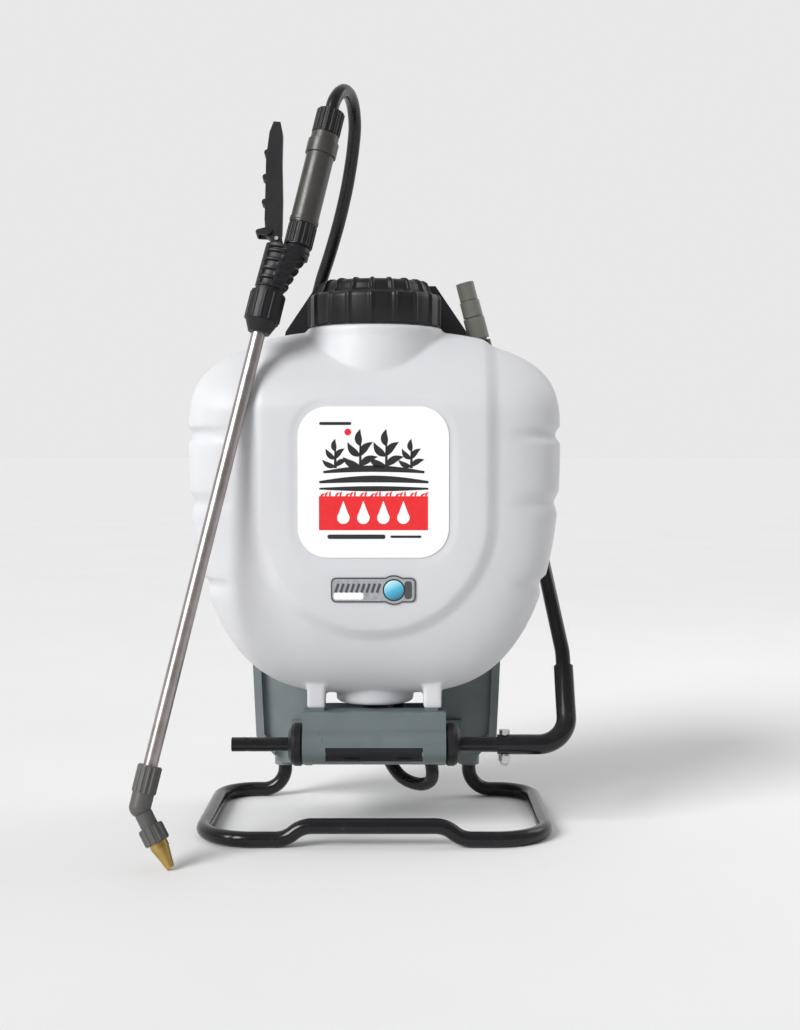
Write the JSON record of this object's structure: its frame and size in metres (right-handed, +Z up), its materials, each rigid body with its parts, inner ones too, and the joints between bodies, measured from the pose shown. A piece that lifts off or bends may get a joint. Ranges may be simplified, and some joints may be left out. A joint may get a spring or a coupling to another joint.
{
  "type": "backpack sprayer",
  "caption": "Backpack sprayer: translucent tank on a tube base, side pump lever, screw lid, shoulder straps, and a hose with a hand valve and spray wand.",
  "frame": {"origin": "on the ground, under the middle of the object's box, measured without the hose", "axes": "+Z up; the label side of the tank faces -Y and the wearer's back is at +Y; the pump lever is at +X"},
  "size_m": [0.4444, 0.3742, 0.7824],
  "materials": {
    "tank_plastic": "translucent satin",
    "label_film": "satin",
    "badge_film": "satin silver",
    "white_plastic": "matte",
    "black_plastic": "satin",
    "steel": "satin",
    "grey_plastic": "satin",
    "black_paint": "gloss",
    "black_rubber": "matte",
    "brass": "machined",
    "pad_fabric": "woven",
    "webbing": "woven",
    "lid_plastic": "satin",
    "warm_grey_plastic": "satin",
    "grip_plastic": "satin",
    "wand_metal": "satin",
    "fitting_plastic": "satin"
  },
  "bodies": {
    "stand": {"tank": "tank_plastic", "front_label": "label_film", "pump_badge": "badge_film", "strainer_basket": "white_plastic", "carry_handle": "black_plastic", "handle_screws": "steel", "hose_guide": "black_plastic", "nozzle_holder": "black_plastic", "base_housing": "grey_plastic", "housing_cover": "black_plastic", "back_panel": "grey_plastic", "base_screws": "steel", "base_frame": "black_paint", "shaft_bush_left": "black_plastic", "shaft_bush_right": "black_plastic", "pump_cylinder": "white_plastic", "pressure_chamber": "white_plastic", "rod_seal": "black_rubber", "outlet_valve": "brass", "outlet_pipe": "black_plastic", "hose_clamp": "steel", "hose_lower": "black_rubber", "shoulder_pad_left": "pad_fabric", "shoulder_pad_right": "pad_fabric", "strap_webbing_left": "webbing", "strap_webbing_right": "webbing", "strap_buckles": "black_plastic", "lumbar_pad": "pad_fabric"},
    "lid_seal": {"lid_gasket": "black_rubber"},
    "lid": {"lid": "lid_plastic", "lid_vent": "lid_plastic"},
    "pump_lever": {"pump_shaft": "black_paint", "crank_arm": "steel", "crank_pin": "steel", "lever_elbow": "black_paint", "lever_arm": "black_paint", "lever_grip": "black_rubber", "lever_bolt": "steel", "lever_nut": "steel"},
    "piston": {"pump_rod": "steel", "piston": "white_plastic", "piston_seal": "black_rubber", "inlet_valve": "black_rubber", "rod_guide": "white_plastic"},
    "spare_nozzle": {"spare_nozzle": "warm_grey_plastic"},
    "wand": {"valve_body": "black_plastic", "grip_handle": "grip_plastic", "grip_nut": "black_plastic", "tail_nut": "black_plastic", "wand_nut": "black_plastic", "wand_tube": "wand_metal", "hose_upper": "black_rubber", "trigger_pin": "steel", "valve_spring": "steel"},
    "trigger": {"trigger": "black_plastic"},
    "trigger_lock": {"trigger_lock": "black_plastic"},
    "valve_stem": {"valve_stem": "brass"},
    "nozzle": {"nozzle_elbow": "fitting_plastic"},
    "nozzle_head": {"nozzle_nut": "fitting_plastic", "nozzle_tip": "brass"}
  },
  "joints": [
    {"name": "lid_lift", "type": "slide", "parent": "stand", "child": "lid_seal", "axis": [0, 0, 1], "range_m": [0, 0.06]},
    {"name": "lid_turn", "type": "hinge", "parent": "lid_seal", "child": "lid", "pos_m": [0.0103, 0.0057, 0.545], "axis": [0, 0, 1], "range_deg": [0, 270]},
    {"name": "lever_stroke", "type": "hinge", "parent": "stand", "child": "pump_lever", "pos_m": [0.0103, -0.0383, 0.093], "axis": [-1, 0, 0], "range_deg": [0, 40]},
    {"name": "pump_stroke", "type": "slide", "parent": "stand", "child": "piston", "axis": [0, 0, 1], "range_m": [-0.0309, 0]},
    {"name": "spare_lift", "type": "slide", "parent": "stand", "child": "spare_nozzle", "axis": [-0.2538, 0, 0.9673], "range_m": [0, 0.05]},
    {"name": "wand_lift", "type": "slide", "parent": "stand", "child": "wand", "axis": [0, 0, 1], "range_m": [0, 0.06]},
    {"name": "trigger_squeeze", "type": "hinge", "parent": "wand", "child": "trigger", "pos_m": [-0.08777, -0.05643, 0.61033], "axis": [0, 0.9801, -0.1985], "range_deg": [0, 10], "stiffness_Nm_per_rad": 2, "springref_deg": -11.46},
    {"name": "lock_turn", "type": "hinge", "parent": "trigger", "child": "trigger_lock", "pos_m": [-0.09694, -0.05459, 0.61941], "axis": [0, 0.9801, -0.1985], "range_deg": [0, 60]},
    {"name": "stem_stroke", "type": "slide", "parent": "wand", "child": "valve_stem", "axis": [0.2215, 0.1936, 0.9557], "range_m": [0, 0.0022]},
    {"name": "nozzle_swivel", "type": "hinge", "parent": "wand", "child": "nozzle", "pos_m": [-0.2117, -0.1683, 0.058], "axis": [0.2215, 0.1936, 0.9557], "range_deg": [-180, 0]},
    {"name": "nozzle_adjust", "type": "hinge", "parent": "nozzle", "child": "nozzle_head", "pos_m": [-0.2117, -0.1683, 0.058], "axis": [0.4726, -0.1749, -0.8638], "range_deg": [0, 270]}
  ],
  "couplings": [
    {"joint": "pump_stroke", "follows": "lever_stroke", "m_per_rad": -0.04409},
    {"joint": "stem_stroke", "follows": "trigger_squeeze", "m_per_rad": 0.012}
  ]
}
